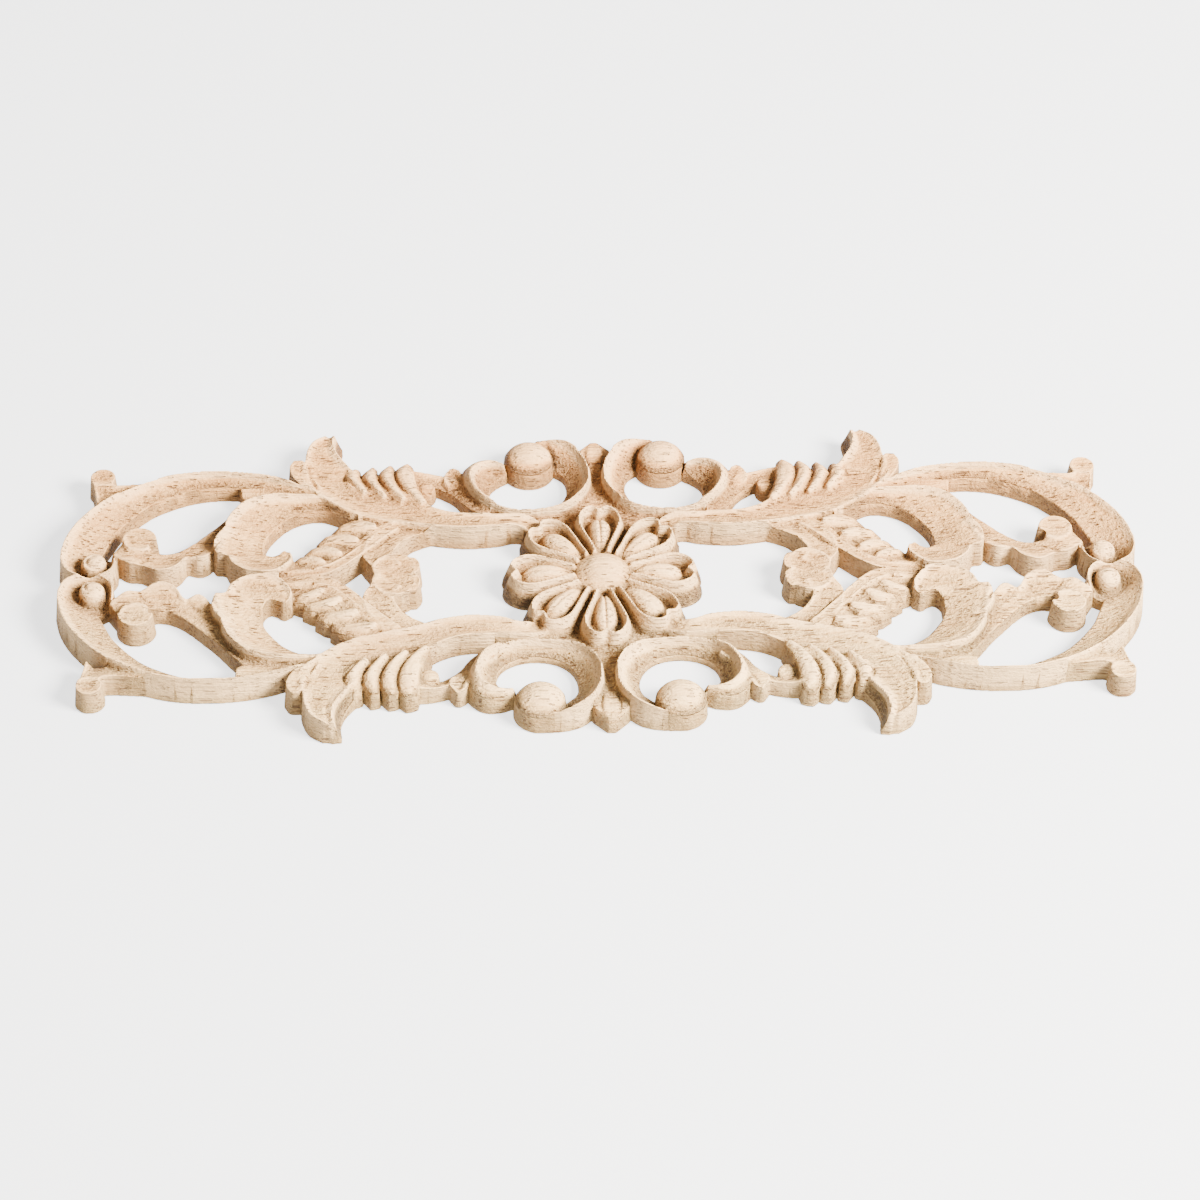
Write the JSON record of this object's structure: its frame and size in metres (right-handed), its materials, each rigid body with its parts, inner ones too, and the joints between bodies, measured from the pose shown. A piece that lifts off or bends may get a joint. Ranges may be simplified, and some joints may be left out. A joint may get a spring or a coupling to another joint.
{
  "type": "carved wood onlay",
  "caption": "Long pierced scrollwork onlay in pale carved wood: central petal rosette, acanthus leaves and C-scrolls, flat back for gluing.",
  "frame": {"origin": "centre of the flat back, under the middle of the rosette", "axes": "+X along the length, +Y across the width, +Z out of the flat back towards the carved face"},
  "size_m": [0.3984, 0.1526, 0.013],
  "materials": {
    "wood": "raw, sanded, unfinished pale hardwood"
  },
  "bodies": {
    "root": {"onlay": "wood"}
  },
  "joints": []
}
